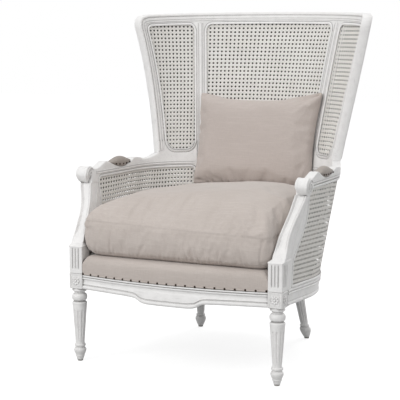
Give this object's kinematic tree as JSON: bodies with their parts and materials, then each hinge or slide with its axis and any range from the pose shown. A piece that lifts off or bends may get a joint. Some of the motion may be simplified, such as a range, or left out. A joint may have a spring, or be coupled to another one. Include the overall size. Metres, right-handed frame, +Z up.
{
  "type": "bergere armchair",
  "caption": "Upholstered bergere armchair with a winged horseshoe back of double cane, carved scroll arms, turned legs, and a loose seat cushion and lumbar pillow.",
  "frame": {"origin": "on the floor, under the middle of the bounding box", "axes": "+X to the viewer's right when facing the chair, the sitter's left; -Y forward, the way the sitter faces; +Z up"},
  "size_m": [0.8604, 0.8676, 1.106],
  "materials": {
    "painted_wood": "whitewashed and distressed, matt",
    "raw_wood": "unfinished softwood",
    "cane": "painted woven cane",
    "linen": "plain weave, slubbed",
    "pillow_linen": "plain weave, slubbed",
    "pad_linen": "plain weave, taut",
    "foam": "open foam and fibre",
    "webbing": "jute webbing",
    "black_cloth": "non-woven",
    "nail": "oil-darkened",
    "nylon": "moulded"
  },
  "bodies": {
    "frame": {"front_leg_left": "painted_wood", "front_leg_right": "painted_wood", "rear_leg_left": "painted_wood", "rear_leg_right": "painted_wood", "front_glide_left": "nylon", "front_glide_right": "nylon", "rear_glide_left": "nylon", "rear_glide_right": "nylon", "front_seat_rail": "painted_wood", "side_seat_rail_left": "painted_wood", "side_seat_rail_right": "painted_wood", "rear_seat_rail": "painted_wood", "arm_support_left": "painted_wood", "arm_support_right": "painted_wood", "arm_rail_left": "painted_wood", "arm_rail_right": "painted_wood", "back_stile_left": "painted_wood", "back_stile_right": "painted_wood", "wing_stile_left": "painted_wood", "wing_stile_right": "painted_wood", "crest_rail": "painted_wood", "back_cane_inner": "cane", "back_cane_outer": "cane", "back_spline_inner": "painted_wood", "back_spline_outer": "painted_wood", "wing_cane_inner_left": "cane", "wing_cane_inner_right": "cane", "wing_cane_outer_left": "cane", "wing_cane_outer_right": "cane", "wing_spline_inner_left": "painted_wood", "wing_spline_inner_right": "painted_wood", "wing_spline_outer_left": "painted_wood", "wing_spline_outer_right": "painted_wood", "side_cane_inner_left": "cane", "side_cane_inner_right": "cane", "side_cane_outer_left": "cane", "side_cane_outer_right": "cane", "side_spline_inner_left": "painted_wood", "side_spline_inner_right": "painted_wood", "side_spline_outer_left": "painted_wood", "side_spline_outer_right": "painted_wood", "front_corner_block_left": "raw_wood", "front_corner_block_right": "raw_wood", "rear_corner_block_left": "raw_wood", "rear_corner_block_right": "raw_wood", "seat_webbing": "webbing", "dust_cover": "black_cloth", "deck_foam": "foam", "deck_cover": "linen", "front_nail_trim": "nail", "arm_pad_left": "pad_linen", "arm_pad_right": "pad_linen"},
    "seat_cushion": {"seat_cushion_cover": "linen", "seat_cushion_insert": "foam"},
    "lumbar_pillow": {"lumbar_pillow_cover": "pillow_linen", "lumbar_pillow_insert": "foam"}
  },
  "joints": [
    {"name": "cushion_lift", "type": "slide", "parent": "frame", "child": "seat_cushion", "axis": [0, 0, 1], "range_m": [0, 0.8]},
    {"name": "pillow_lift", "type": "slide", "parent": "seat_cushion", "child": "lumbar_pillow", "axis": [0, 0, 1], "range_m": [0, 0.6]}
  ]
}
